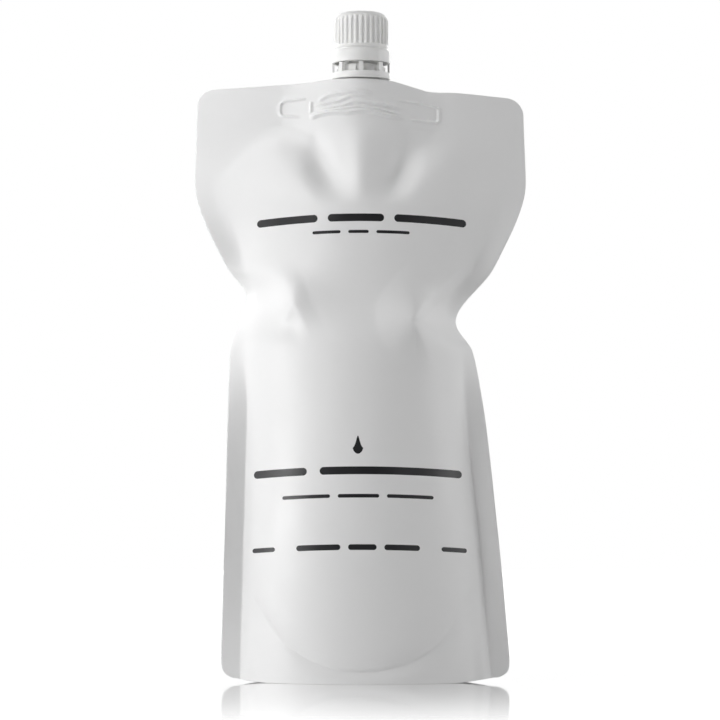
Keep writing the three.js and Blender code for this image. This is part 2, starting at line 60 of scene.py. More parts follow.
# Pouch film
FILM_LEVELS = 2
SEAM_ANGLE = 50  # degrees, above which a fold of the film stays sharp
SEAM_SHARPNESS = 0.9
QUAD_FOLD = 40  # most degrees between two triangles that are joined to a quad
QUAD_SKEW = 60  # most degrees that a joined quad's corners are off square
NORMAL_GAIN = 3  # how soon the film counts as front or back when it turns from the side
WELD_LEVEL = (218.0, 233.5)  # lowest and highest of the film that the weld jaws press
WELD_HALF_LENGTH = 34.0
WELD_SMOOTHING = 0.5
WELD_SMOOTHING_PASSES = 10
WELD_CUTS = 1  # extra cuts of the front film there, for its fine creases
WAVE_HEIGHT = 0.1
WAVE_LENGTH = 17.0

# Creases of the film, each a line of (x, height) over the pouch with its rise, the reach of its left and
# right flank, and the shares of its length over which its two ends run out
WELD_CREASES = [
    ([(-17.3, 228.3), (-15.2, 229.9), (-13.1, 230.8), (-6.8, 231.5), (-1.5, 231.8), (3.7, 231),
      (5.3, 229.7)], 1.1, (1.1, 1.1), (0.1, 0.2)),
    ([(-18.9, 227.1), (-14.2, 227.6), (-8.9, 228.4), (-4.7, 230.2), (-1.5, 230.2), (3.7, 229.6)],
     1.0, (0.9, 0.9), (0.1, 0.3)),
    ([(-18.4, 225.5), (-12, 226), (-7.9, 226.6), (-3.6, 227.9), (1.1, 228.1), (9, 227.1), (17.5, 225.5)],
     1.1, (1.1, 1.1), (0.1, 0.2)),
    ([(-17.3, 224.6), (-10, 225.1), (-4.7, 225.8), (1.1, 226.2), (6.9, 225.2), (11.6, 224.1), (17.5, 223.1)],
     1.0, (0.9, 0.9), (0.1, 0.2)),
    ([(-20.5, 222.3), (-17.3, 223.4), (-12, 224.1), (-5.8, 223.7), (0.1, 224.5), (5.3, 224), (10.6, 222.8),
      (18.5, 221.5)], 1.4, (1.3, 1.3), (0.05, 0.2)),
    ([(-19.8, 229.2), (-20, 223.9)], 0.8, (0.8, 0.8), (0.2, 0.2)),
    ([(-21.1, 230), (-30.2, 229.7), (-31.7, 229), (-32.2, 227.6), (-32.2, 225.3), (-31.7, 224.1),
      (-30.7, 223.6), (-23.8, 222.9)], 0.8, (0.7, 0.7), (0.1, 0.1)),
    ([(12.3, 228.9), (18.6, 228.4), (30, 226.8), (30.8, 226), (30.8, 221.3), (29.8, 220.5), (21.8, 221.2),
      (18.6, 221.5)], 0.8, (0.7, 0.7), (0.2, 0.1)),
]
KNUCKLE_CREASES = [
    ([(-26.2, 147.5), (-26.2, 149.9), (-28.3, 155.5), (-30.7, 161.2), (-33, 167.1), (-36.6, 172.2)],
     0.8, (6, 6), (0, 0.9)),
    ([(-26.2, 147.5), (-27.4, 144.9), (-29.5, 142.8), (-31.8, 139.8), (-36, 136.5)], 0.8, (6, 6), (0, 0.9)),
    ([(-26.2, 147.5), (-22.6, 141), (-19.4, 134.5), (-16.7, 129.4)], 1.1, (5, 6), (0, 0.9)),
    ([(20.6, 142.5), (26.1, 149.7), (32, 155.5), (40.2, 163.4), (50.4, 172.8)], 2.2, (16, 4), (0, 0.9)),
    ([(20.3, 141.1), (16.7, 135.7), (13.2, 129)], 1.0, (16, 6), (0, 0.9)),
    ([(20.3, 141.1), (23.4, 134.5), (26.2, 128), (27.9, 120.3)], 1.2, (6, 4), (0, 0.9)),
]
# Soft hollows of the film on either side of the ridge under the spout, given like the creases
SPOUT_HOLLOWS = [
    ([(-19.3, 221.5), (-17.7, 212.8), (-15.3, 202.9), (-11.4, 193.8), (-5.9, 187.5)],
     1.6, (9, 8), (0.4, 0.4)),
    ([(16.9, 220.7), (17.3, 210.8), (16.1, 201.7), (12.2, 193), (5.9, 186.7)],
     1.8, (6, 10), (0.4, 0.4)),
]

# The film's top edge stands up a little round the spout, close under the band
EDGE_RISE = 0.5
EDGE_RISE_LEVEL = (228.0, 236.0)  # heights over which it starts and is full
EDGE_RISE_REACH = (11.0, 22.0)  # distances from the spout axis over which it runs out

# Seal of the bottom gusset, as (distance from the middle, height): the film steps back below it
GUSSET_SEAL = [(0, 5.5), (9.3, 6.3), (19.3, 9.8), (29, 15.6), (34.4, 22.9), (41.8, 35.6), (44.5, 39.5)]
GUSSET_STEP = 0.45
GUSSET_STEP_EDGE = 0.9
GUSSET_SLOPE = 0.05
GUSSET_SIDE_FADE = (3.0, 8.0)  # distances from the middle plane over which the step grows

# Print on the front film: plain rounded bars in lines, as (height, half thickness, runs of x)
PRINT_LINES = [
    (181.5, 1.5, [(-41, -17), (-13, 9), (13, 41.4)]),
    (175.9, 0.6, [(-19, -8), (-5, 3), (6, 19)]),
    (82.6, 1.5, [(-42, -21), (-16, 39.5)]),
    (72.8, 0.7, [(-30.6, -12), (-9, 7), (10, 28.2)]),
    (53, 0.9, [(-42.5, -33.5), (31.3, 41.4)]),
    (53, 1.1, [(-25.1, -8), (-5, 6), (9, 22.8)]),
]
PRINT_BOW = 0.0009  # how much the lines sink towards the sides, per millimetre squared
DROP_MIDDLE = (-0.0012, 0, 0.0912)  # metres
DROP_RADIUS = 2.2
DROP_TIP = 4.8
DROP_NARROWING = 4.0  # how much narrower the drop is drawn at its tip

FILM_WHITE = "#F0F0F0"
INK_BLACK = "#17171A"
FILM_IOR = 1.5
FILM_ROUGHNESS = (0.36, 0.46)
HAZE_SIZE = 14.0  # patches of the lamination
HAZE_SPREAD = (0.3, 0.7)  # part of the noise that the roughness range is spread over
FILM_GRAIN_SIZE = 0.9
FILM_GRAIN_DEPTH = 0.05
FILM_GRAIN_STRENGTH = 0.12

CAP_WHITE = "#EFEFEE"
CAP_ROUGHNESS = 0.36
SPOUT_WHITE = "#EBEBE9"
SPOUT_ROUGHNESS = 0.4
MOULD_IOR = 1.51
MOULD_GRAIN_SIZE = 0.35
MOULD_GRAIN_DEPTH = 0.03
MOULD_GRAIN_STRENGTH = 0.1
MILKINESS = 0.15  # share of the light that goes into the plastic
MILKY_TINT = (1.0, 1.0, 0.9)
MILKY_DEPTH = 0.6

# Studio
FLOOR_WHITE = "#F4F4F4"
FLOOR_GLOW = 1.2
FLOOR_SHADE = 0.3  # share of the floor's look that takes the pack's shadow
FLOOR_SIZE = 8.0  # metres
FLOOR_ROUGHNESS = 0.3
SHADE_FADE = (0.03, 0.5)  # metres from the pack's middle over which the shadow runs out
MIRROR_FADE = (0.03, 0.4)  # metres over which the mirror image runs out
MIRROR_GAIN = 1.55
MIRROR_ROUGHNESS = 0.05
ACRYLIC_IOR = 1.49
WORLD_FILL = 0.04
BACKDROP_EDGE = 0.5  # how far behind the pack a direction points where the backdrop is in full view
# Softboxes as place and aim in metres, width, height and power in watts
SOFTBOXES = {
    "key_left": ((-1.1, 0.2, 0.35), (0, 0, 0.13), 0.5, 0.9, 2.6),
    "key_left_high": ((-0.4, -0.5, 0.6), (0, 0, 0.18), 0.35, 0.35, 1.64),
    "key_left_wing": ((-0.5, -0.25, 0.55), (-0.03, 0, 0.2), 0.3, 0.3, 0.52),
    "key_left_low": ((-1.0, -0.4, 0.08), (0, 0, 0.08), 0.4, 0.15, 3.4),
    "rim_left": ((-0.7, 0.6, 0.3), (0, 0, 0.13), 0.3, 0.7, 1.23),
    "fill_right": ((1.1, -0.1, 0.3), (0, 0, 0.13), 0.4, 0.9, 3.1),
    "fill_right_back": ((1.0, 0.4, 0.3), (0, 0, 0.13), 0.4, 0.9, 1.7),
    "fill_right_front": ((0.8, -0.8, 0.35), (0, 0, 0.13), 0.5, 0.9, 1.1),
    "overhead": ((0, -0.3, 1.4), (0, 0, 0.1), 0.8, 0.8, 2.3),
    "back_left": ((-0.4, 1.25, 0.5), (0, 0, 0.13), 0.5, 0.7, 2.2),
    "back_right": ((0.45, 1.25, 0.4), (0, 0, 0.13), 0.5, 0.7, 3.0),
}

# Cap, from the same heights as its solid
CAP_STEPS = 512
FLUTES = 32
CAP_SIDE = 10.8  # radius over the ridges
CAP_WALL = 1.7
CAP_TOP = 2.0
CAP_ROUNDING = 4.0
CAP_ROUNDING_STEPS = 24
CAP_SIDE_ROWS = 26
CAP_SIDE_FOOT = 1.2  # above the skirt, where the plain side starts over the groove
CAP_DISC_DEPTH = 0.12  # how far the top's middle lies below its rim
CAP_DISC_EDGE = (1.2, 1.4)  # the disc's edge, inside the rounding
MOULD_SMOOTH_ANGLE = 40  # degrees, above which a moulded edge stays sharp
SKIRT_HEIGHT = 5.0
FLUTE_RADIUS = 0.7
FLUTE_OFFSET = 0.05  # flute axes outside the cap's side
FLUTE_FOOT = 2.0  # above the skirt
PLUG_RADIUS = 5.2
PLUG_WALL = 0.9
PLUG_DEPTH = 3.5

# Tamper band
BAND_STEPS = 160
BAND_WALL = 1.3
BAND_RING = 2.6
BAND_LIP = 0.9
LIP_INSIDE = 8.2
BRIDGES = 8
BRIDGE_WIDTH = 1.2
BRIDGE_MARGIN = 0.1  # so that a bridge takes whole steps of the ring
BAND_ROUNDING = 0.25

# Spout
SPOUT_EDGE = 0.12  # width of its broken edges
SPOUT_EDGE_ANGLE = 35  # degrees, above which an edge is broken

# Thread
NECK_RADIUS = 7.6
THREAD_PITCH = 3.5
THREAD_TURNS = 2
THREAD_STEPS = 72
NECK_THREAD_FOOT = 248.0
CAP_THREAD_FOOT = 249.9
THREAD_HEIGHT = 1.05
THREAD_BASE = 1.5
THREAD_CREST = 0.5
THREAD_SINK = 0.1  # how far its root lies in the wall
THREAD_CLEARANCE = 0.2  # less height inside the cap
THREAD_RUNOUT_STEPS = 12
THREAD_END = 0.05  # share of the height left at its ends
THREAD_SMOOTH_ANGLE = 30


def select_only(piece):
    """Makes one object the only one selected, and the active one."""
    bpy.ops.object.select_all(action="DESELECT")
    piece.select_set(True)
    bpy.context.view_layer.objects.active = piece


def points_of(piece):
    """The piece's vertices in millimetres, one row each."""
    points = np.empty(len(piece.data.vertices) * 3)
    piece.data.vertices.foreach_get("co", points)
    return points.reshape(-1, 3) / MM


def move_points(piece, points):
    """Puts the piece's vertices at rows of millimetres."""
    piece.data.vertices.foreach_set("co", (points * MM).ravel())
    piece.data.update()


def apply_modifier(piece, kind, **settings):
    """Adds one modifier with its settings and applies it."""
    select_only(piece)
    modifier = piece.modifiers.new(kind.title(), kind)
    for name, value in settings.items():
        setattr(modifier, name, value)
    bpy.ops.object.modifier_apply(modifier=modifier.name)


def smooth(piece, degrees):
    """Shades the piece smooth, with edges over an angle left sharp."""
    select_only(piece)
    bpy.ops.object.shade_smooth_by_angle(angle=math.radians(degrees))


def copy_of_node(node, name):
    """A merged copy of a CAD node's mesh, which is loose triangles, as a new object."""
    piece = bpy.data.objects.new(name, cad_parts[node].data.copy())
    bpy.context.scene.collection.objects.link(piece)
    piece.data.materials.clear()
    select_only(piece)
    bpy.ops.object.mode_set(mode="EDIT")
    bpy.ops.mesh.select_all(action="SELECT")
    bpy.ops.mesh.remove_doubles(threshold=MERGE_DISTANCE * MM)
    bpy.ops.object.mode_set(mode="OBJECT")
    return piece


def turned(name, outline, steps):
    """A closed outline of (radius, height) spun round the spout axis."""
    bpy.ops.object.select_all(action="DESELECT")
    bpy.ops.mesh.primitive_circle_add(vertices=len(outline))
    piece = bpy.context.object
    piece.name = name
    piece.data.name = name
    move_points(piece, np.array([(radius, 0.0, height) for radius, height in outline]))
    bpy.ops.object.mode_set(mode="EDIT")
    bpy.ops.mesh.select_all(action="SELECT")
    bpy.ops.mesh.spin(steps=steps, angle=2 * math.pi, center=(0, 0, 0), axis=(0, 0, 1))
    bpy.ops.mesh.select_all(action="SELECT")
    bpy.ops.mesh.remove_doubles(threshold=MERGE_DISTANCE * MM)
    bpy.ops.mesh.normals_make_consistent(inside=False)
    bpy.ops.object.mode_set(mode="OBJECT")
    return piece


def smoothstep(value, start, end):
    """From 0 at the start to 1 at the end with a soft beginning and finish."""
    t = np.clip((value - start) / (end - start), 0, 1)
    return t * t * (3 - 2 * t)


def off_line(points, line):
    """How far each point lies off a line of (x, height), its share along it, and whether it is left of it."""
    flat = points[:, [0, 2]]
    off = np.full(len(flat), np.inf)
    along = np.zeros(len(flat))
    left = np.zeros(len(flat), bool)
    start = 0
    for a, b in zip(np.array(line), np.array(line[1:])):
        length = np.linalg.norm(b - a)
        share = np.clip((flat - a) @ (b - a) / length**2, 0, 1)
        beside = flat - a - share[:, None] * (b - a)
        distance = np.linalg.norm(beside, axis=1)
        nearer = distance < off
        off[nearer] = distance[nearer]
        along[nearer] = start + share[nearer] * length
        left[nearer] = beside[nearer, 0] < 0
        start += length
    return off, along / start, left


def crease_rise(points, crease):
    """How far one crease lifts the film at each point: a straight slope up to it on either side."""
    line, rise, (left_reach, right_reach), (run_in, run_out) = crease
    off, along, left = off_line(points, line)
    ends = smoothstep(along, 0, run_in) if run_in else 1
    ends = ends * smoothstep(1 - along, 0, run_out)
    return rise * ends * np.clip(1 - off / np.where(left, left_reach, right_reach), 0, 1)


def highest(points, creases):
    """How far crossing creases lift the film, where the highest one counts."""
    return np.max([crease_rise(points, crease) for crease in creases], axis=0)


def hollow_depth(points):
    """How far the film sinks into the hollows beside the ridge, with soft rims and bottoms."""
    depth = np.zeros(len(points))
    for hollow in SPOUT_HOLLOWS:
        sunk = hollow[1]
        depth += sunk * smoothstep(crease_rise(points, hollow), 0, sunk)
    return depth


def gusset_step(points):
    """How far the film lies back below the gusset's seal, and not where it nears the side seals."""
    mirrored = [(-x, height) for x, height in GUSSET_SEAL[:0:-1]] + GUSSET_SEAL
    off, _, _ = off_line(points, mirrored)
    seal = np.interp(np.abs(points[:, 0]), *np.transpose(GUSSET_SEAL))
    back = GUSSET_STEP * smoothstep(off, 0, GUSSET_STEP_EDGE) + GUSSET_SLOPE * off
    fade = smoothstep(np.abs(points[:, 1]), *GUSSET_SIDE_FADE)
    return np.where(points[:, 2] < seal, back, 0) * np.sign(points[:, 1]) * fade


def outward(piece):
    """From 1 on the front film through 0 at the sides to -1 on the back."""
    normals = np.empty(len(piece.data.vertices) * 3)
    piece.data.vertices.foreach_get("normal", normals)
    return np.clip(normals.reshape(-1, 3)[:, 1] * -NORMAL_GAIN, -1, 1)


def select_weld(piece, front_only=False):
    """Selects the outer film between the weld jaws."""
    points = points_of(piece)
    low, high = WELD_LEVEL
    pressed = (np.abs(points[:, 0]) < WELD_HALF_LENGTH) & (points[:, 2] > low) & (points[:, 2] < high)
    pressed &= points[:, 1] * outward(piece) < 0
    if front_only:
        pressed &= points[:, 1] < 0
    piece.data.polygons.foreach_set("select", np.zeros(len(piece.data.polygons), bool))
    piece.data.edges.foreach_set("select", np.zeros(len(piece.data.edges), bool))
    piece.data.vertices.foreach_set("select", pressed)


def film_pouch():
    """The pouch's film: the solid's skin made smooth, with sharp seams and its creases raised."""
    piece = copy_of_node("pouch", "film_pouch")
    bpy.ops.object.mode_set(mode="EDIT")
    bpy.ops.mesh.select_all(action="SELECT")
    bpy.ops.mesh.tris_convert_to_quads(
        face_threshold=math.radians(QUAD_FOLD), shape_threshold=math.radians(QUAD_SKEW)
    )
    bpy.ops.mesh.select_all(action="DESELECT")
    bpy.ops.mesh.select_mode(type="EDGE")
    bpy.ops.mesh.edges_select_sharp(sharpness=math.radians(SEAM_ANGLE))
    bpy.ops.transform.edge_crease(value=SEAM_SHARPNESS)
    bpy.ops.mesh.select_mode(type="VERT")
    bpy.ops.object.mode_set(mode="OBJECT")
    select_weld(piece)
    bpy.ops.object.mode_set(mode="EDIT")
    bpy.ops.mesh.vertices_smooth(factor=WELD_SMOOTHING, repeat=WELD_SMOOTHING_PASSES)
    bpy.ops.object.mode_set(mode="OBJECT")
    apply_modifier(piece, "SUBSURF", levels=FILM_LEVELS, render_levels=FILM_LEVELS)
    select_weld(piece, front_only=True)
    bpy.ops.object.mode_set(mode="EDIT")
    bpy.ops.mesh.subdivide(number_cuts=WELD_CUTS)
    bpy.ops.object.mode_set(mode="OBJECT")
    points = points_of(piece)
    waves = [noise.noise(Vector(point) / WAVE_LENGTH) for point in points]
    rise = highest(points, WELD_CREASES) + highest(points, KNUCKLE_CREASES) - hollow_depth(points)
    points[:, 1] -= (rise + WAVE_HEIGHT * np.array(waves)) * outward(piece) + gusset_step(points)
    beside_spout = 1 - smoothstep(np.abs(points[:, 0]), *EDGE_RISE_REACH)
    points[:, 2] += EDGE_RISE * smoothstep(points[:, 2], *EDGE_RISE_LEVEL) * beside_spout
    move_points(piece, points)
    smooth(piece, SEAM_ANGLE)
    return piece


def screw_cap():
    """The cap: its outline spun, with small edge roundings and a groove over the skirt, then fluted."""
    low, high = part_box("cap")
    foot = low.z / MM
    top = high.z / MM
    skirt_radius = high.x / MM
    skirt_inside = skirt_radius - BAND_WALL
    skirt_top = foot + SKIRT_HEIGHT
    inside = CAP_SIDE - CAP_WALL
    ceiling = top - CAP_TOP
    plug_foot = ceiling - PLUG_DEPTH
    flute_foot = skirt_top + FLUTE_FOOT
    outline = [
        (skirt_inside, foot + 0.2),
        (skirt_inside + 0.2, foot),
        (skirt_radius - 0.3, foot),
        (skirt_radius - 0.08, foot + 0.09),
        (skirt_radius, foot + 0.3),
        (skirt_radius, skirt_top - 0.9),
        (skirt_radius - 0.08, skirt_top - 0.5),
        (skirt_radius - 0.3, skirt_top - 0.15),
        (skirt_radius - 0.55, skirt_top),
        (CAP_SIDE - 0.3, skirt_top + 0.05),
        (CAP_SIDE - 0.4, skirt_top + 0.15),
        (CAP_SIDE - 0.4, skirt_top + 0.6),
        (CAP_SIDE - 0.25, skirt_top + 0.78),
        (CAP_SIDE, skirt_top + 0.95),
    ]
    side_foot = skirt_top + CAP_SIDE_FOOT
    side_top = top - CAP_ROUNDING
    for i in range(CAP_SIDE_ROWS):
        outline.append((CAP_SIDE, side_foot + (side_top - side_foot) * (i / CAP_SIDE_ROWS)))
    for i in range(CAP_ROUNDING_STEPS + 1):
        turn = math.pi / 2 * i / CAP_ROUNDING_STEPS
        radius = CAP_SIDE - CAP_ROUNDING * (1 - math.cos(turn))
        outline.append((radius, side_top + CAP_ROUNDING * math.sin(turn)))
    outline += [
        (CAP_SIDE - CAP_ROUNDING - CAP_DISC_EDGE[0], top),
        (CAP_SIDE - CAP_ROUNDING - CAP_DISC_EDGE[1], top - CAP_DISC_DEPTH),
        (0, top - CAP_DISC_DEPTH),
        (0, ceiling),
        (PLUG_RADIUS - PLUG_WALL, ceiling),
        (PLUG_RADIUS - PLUG_WALL, plug_foot + 0.15),
        (PLUG_RADIUS - 0.7, plug_foot),
        (PLUG_RADIUS - 0.45, plug_foot),
        (PLUG_RADIUS, plug_foot + 0.6),
        (PLUG_RADIUS, ceiling),
        (inside, ceiling),
        (inside, skirt_top),
        (skirt_inside, skirt_top - CAP_WALL),
    ]
    piece = turned("screw_cap", outline, CAP_STEPS)

    points = points_of(piece)
    radius = np.hypot(points[:, 0], points[:, 1])
    height = points[:, 2]
    pitch = 2 * math.pi * CAP_SIDE / FLUTES
    across = (np.arctan2(points[:, 0], -points[:, 1]) / (2 * math.pi) * FLUTES % 1 - 0.5) * pitch
    above_foot = np.clip((height - flute_foot) / FLUTE_RADIUS, 0, 1)
    reach = FLUTE_RADIUS**2 * (1 - (1 - above_foot) ** 2) - across**2
    floor = CAP_SIDE + FLUTE_OFFSET - np.sqrt(np.clip(reach, 0, None))
    fluted = (radius > inside) & (height > flute_foot) & (reach > 0) & (floor < radius)
    scale = np.where(fluted, floor / np.maximum(radius, 1), 1)
    points[:, 0] *= scale
    points[:, 1] *= scale
    move_points(piece, points)
    smooth(piece, MOULD_SMOOTH_ANGLE)
    return piece


def tamper_band():
    """The band: a ring with a lip, small edge roundings and the bridges drawn up from its top."""
    low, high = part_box("tamper_band")
    foot = low.z / MM
    bridge_top = high.z / MM
    outside = high.x / MM
    inside = outside - BAND_WALL
    ring_top = foot + BAND_RING
    outline = [
        (LIP_INSIDE, foot + 0.15),
        (LIP_INSIDE + 0.15, foot),
        (outside - 0.6, foot),
        (outside - 0.2, foot + 0.12),
        (outside, foot + 0.5),
        (outside, ring_top - BAND_ROUNDING),
        (outside - 0.07, ring_top - 0.07),
        (outside - BAND_ROUNDING, ring_top),
        (inside + BAND_ROUNDING, ring_top),
        (inside + 0.07, ring_top - 0.07),
        (inside, ring_top - BAND_ROUNDING),
        (inside, foot + BAND_LIP),
        (LIP_INSIDE + 0.15, foot + BAND_LIP),
        (LIP_INSIDE, foot + BAND_LIP - 0.15),
    ]
    piece = turned("tamper_band_ring", outline, BAND_STEPS)
    select_only(piece)
    bpy.ops.object.mode_set(mode="EDIT")
    bpy.ops.mesh.select_mode(type="FACE")
    bpy.ops.mesh.select_all(action="DESELECT")
    bpy.ops.object.mode_set(mode="OBJECT")
    for face in piece.data.polygons:
        centre = face.center / MM
        share = (math.atan2(centre.x, -centre.y) / (2 * math.pi) * BRIDGES + 0.5) % 1 - 0.5
        from_bridge = abs(share) * 2 * math.pi * outside / BRIDGES
        on_top = face.normal.z > 0.9 and centre.z > ring_top - 0.02
        face.select = on_top and from_bridge < BRIDGE_WIDTH / 2 + BRIDGE_MARGIN
    bpy.ops.object.mode_set(mode="EDIT")
    bridge_height = (bridge_top - ring_top) * MM
    bpy.ops.mesh.extrude_region_move(TRANSFORM_OT_translate={"value": (0, 0, bridge_height)})
    bpy.ops.object.mode_set(mode="OBJECT")
    smooth(piece, MOULD_SMOOTH_ANGLE)
    return piece


def spout_moulding():
    """The spout: its solid's skin with the sharp edges broken, as a mould leaves them."""
    piece = copy_of_node("spout", "spout_moulding")
    apply_modifier(
        piece,
        "BEVEL",
        width=SPOUT_EDGE * MM,
        segments=2,
        limit_method="ANGLE",
        angle_limit=math.radians(SPOUT_EDGE_ANGLE),
    )
    smooth(piece, MOULD_SMOOTH_ANGLE)
    return piece


def thread(name, root_radius, crest_radius, foot):
    """A right-hand thread of two turns whose ends run out into the wall."""
    bpy.ops.object.select_all(action="DESELECT")
    bpy.ops.mesh.primitive_circle_add(vertices=4)
    piece = bpy.context.object
    piece.name = name
    piece.data.name = name
    half_base = THREAD_BASE / 2
    half_crest = THREAD_CREST / 2
    section = [
        (root_radius, 0, foot - half_base),
        (crest_radius, 0, foot - half_crest),
        (crest_radius, 0, foot + half_crest),
        (root_radius, 0, foot + half_base),
    ]
    move_points(piece, np.array(section))
    apply_modifier(
        piece,
        "SCREW",
        axis="Z",
        angle=2 * math.pi,
        screw_offset=THREAD_PITCH * MM,
        iterations=THREAD_TURNS,
        steps=THREAD_STEPS,
        render_steps=THREAD_STEPS,
        use_merge_vertices=True,
        merge_threshold=MERGE_DISTANCE * MM,
    )
    points = points_of(piece)
    ring = np.arange(len(points)) // len(section)
    last = ring.max()
    runout = smoothstep(np.minimum(ring, last - ring), 0, THREAD_RUNOUT_STEPS)
    radius = np.hypot(points[:, 0], points[:, 1])
    scale = (root_radius + (radius - root_radius) * (THREAD_END + (1 - THREAD_END) * runout)) / radius
    points[:, 0] *= scale
    points[:, 1] *= scale
    move_points(piece, points)
    select_only(piece)
    bpy.ops.object.mode_set(mode="EDIT")
    bpy.ops.mesh.select_mode(type="EDGE")
    bpy.ops.mesh.select_all(action="DESELECT")
    bpy.ops.mesh.select_non_manifold()
    bpy.ops.mesh.fill()
    bpy.ops.mesh.select_all(action="SELECT")
    bpy.ops.mesh.normals_make_consistent(inside=False)
    bpy.ops.object.mode_set(mode="OBJECT")
    smooth(piece, THREAD_SMOOTH_ANGLE)
    return piece


def srgb(code):
    """A hex colour as linear red, green, blue and alpha."""
    parts = [int(code[i : i + 2], 16) / 255 for i in (1, 3, 5)]
    return [c / 12.92 if c <= 0.04045 else ((c + 0.055) / 1.055) ** 2.4 for c in parts] + [1]


def add_node(tree, kind, inputs=None, **settings):
    """Adds a node with its settings, and sets each input to a value or links it to an output."""
    made = tree.nodes.new(kind)
    for name, value in settings.items():
        setattr(made, name, value)
    for key, value in (inputs or {}).items():
        if isinstance(value, bpy.types.NodeSocket):
            tree.links.new(value, made.inputs[key])
        else:
            made.inputs[key].default_value = value
    return made


def new_material(name):
    """A new material with its node tree and its main shader."""
    material = bpy.data.materials.new(name)
    material.use_nodes = True
    tree = material.node_tree
    return material, tree, tree.nodes["Principled BSDF"]


def ink_mask(tree, place):
    """Where the print lies on the front film: rounded bars in lines, and a drop above the widest one."""
    axis = add_node(tree, "ShaderNodeSeparateXYZ", {0: place})
    across = axis.outputs["X"]
    square = add_node(tree, "ShaderNodeMath", {0: across, 1: across}, operation="MULTIPLY")
    level = add_node(
        tree,
        "ShaderNodeMath",
        {0: square.outputs[0], 1: PRINT_BOW / MM, 2: axis.outputs["Z"]},
        operation="MULTIPLY_ADD",
    )
    flat = add_node(tree, "ShaderNodeCombineXYZ", {"X": across, "Z": level.outputs[0]})
    ink = 0.0
    for height, half, runs in PRINT_LINES:
        for left, right in runs:
            middle = ((left + right) / 2 * MM, 0, height * MM)
            reach = ((right - left) / 2 * MM - half * MM, 0, 0)
            steps = [("SUBTRACT", middle), ("ABSOLUTE", None), ("SUBTRACT", reach), ("MAXIMUM", (0, 0, 0))]
            spot = flat
            for operation, value in steps:
                inputs = {0: spot.outputs[0]} if value is None else {0: spot.outputs[0], 1: value}
                spot = add_node(tree, "ShaderNodeVectorMath", inputs, operation=operation)
            off = add_node(tree, "ShaderNodeVectorMath", {0: spot.outputs[0]}, operation="LENGTH")
            bar = add_node(
                tree, "ShaderNodeMath", {0: off.outputs["Value"], 1: half * MM}, operation="LESS_THAN"
            )
            joined = add_node(tree, "ShaderNodeMath", {0: bar.outputs[0], 1: ink}, operation="MAXIMUM")
            ink = joined.outputs[0]
    offset = add_node(
        tree, "ShaderNodeVectorMath", {0: flat.outputs[0], 1: DROP_MIDDLE}, operation="SUBTRACT"
    )
    drop_axis = add_node(tree, "ShaderNodeSeparateXYZ", {0: offset.outputs[0]})
    squeeze = add_node(
        tree,
        "ShaderNodeMapRange",
        {"Value": drop_axis.outputs["Z"], "From Max": DROP_TIP * MM,
         "To Min": 1.0, "To Max": DROP_NARROWING},
    )
    wide = add_node(
        tree,
        "ShaderNodeMath",
        {0: drop_axis.outputs["X"], 1: squeeze.outputs["Result"]},
        operation="MULTIPLY",
    )
    low = add_node(
        tree,
        "ShaderNodeMapRange",
        {"Value": drop_axis.outputs["Z"], "From Min": -DROP_RADIUS * MM, "From Max": DROP_TIP * MM,
         "To Min": -DROP_RADIUS * MM, "To Max": DROP_RADIUS * MM},
    )
    drop_spot = add_node(tree, "ShaderNodeCombineXYZ", {"X": wide.outputs[0], "Z": low.outputs["Result"]})
    off = add_node(tree, "ShaderNodeVectorMath", {0: drop_spot.outputs[0]}, operation="LENGTH")
    drop = add_node(
        tree, "ShaderNodeMath", {0: off.outputs["Value"], 1: DROP_RADIUS * MM}, operation="LESS_THAN"
    )
    ink = add_node(tree, "ShaderNodeMath", {0: drop.outputs[0], 1: ink}, operation="MAXIMUM").outputs[0]
    front = add_node(tree, "ShaderNodeMath", {0: axis.outputs["Y"], 1: 0.0}, operation="LESS_THAN")
    return add_node(tree, "ShaderNodeMath", {0: ink, 1: front.outputs[0]}, operation="MULTIPLY").outputs[0]


def film_material():
    """White polyester and polyethylene laminate film: satin, with a faint unevenness from its lamination."""
    material, tree, shader = new_material("laminate_film_white_satin")
    place = add_node(tree, "ShaderNodeTexCoord").outputs["Object"]
    haze = add_node(tree, "ShaderNodeTexNoise", {"Vector": place, "Scale": 1 / (HAZE_SIZE * MM), "Detail": 3})
    rough = add_node(
        tree,
        "ShaderNodeMapRange",
        {"Value": haze.outputs["Fac"], "From Min": HAZE_SPREAD[0], "From Max": HAZE_SPREAD[1],
         "To Min": FILM_ROUGHNESS[0], "To Max": FILM_ROUGHNESS[1]},
    )
    scale = 1 / (FILM_GRAIN_SIZE * MM)
    grain = add_node(tree, "ShaderNodeTexNoise", {"Vector": place, "Scale": scale, "Detail": 2})
    bump = add_node(
        tree,
        "ShaderNodeBump",
        {"Height": grain.outputs["Fac"], "Strength": FILM_GRAIN_STRENGTH,
         "Distance": FILM_GRAIN_DEPTH * MM},
    )
    colour = add_node(
        tree,
        "ShaderNodeMix",
        {"Factor": ink_mask(tree, place), "A": srgb(FILM_WHITE), "B": srgb(INK_BLACK)},
        data_type="RGBA",
    )
    shader.inputs["IOR"].default_value = FILM_IOR
    tree.links.new(colour.outputs["Result"], shader.inputs["Base Color"])
    tree.links.new(rough.outputs["Result"], shader.inputs["Roughness"])
    tree.links.new(bump.outputs["Normal"], shader.inputs["Normal"])
    return material


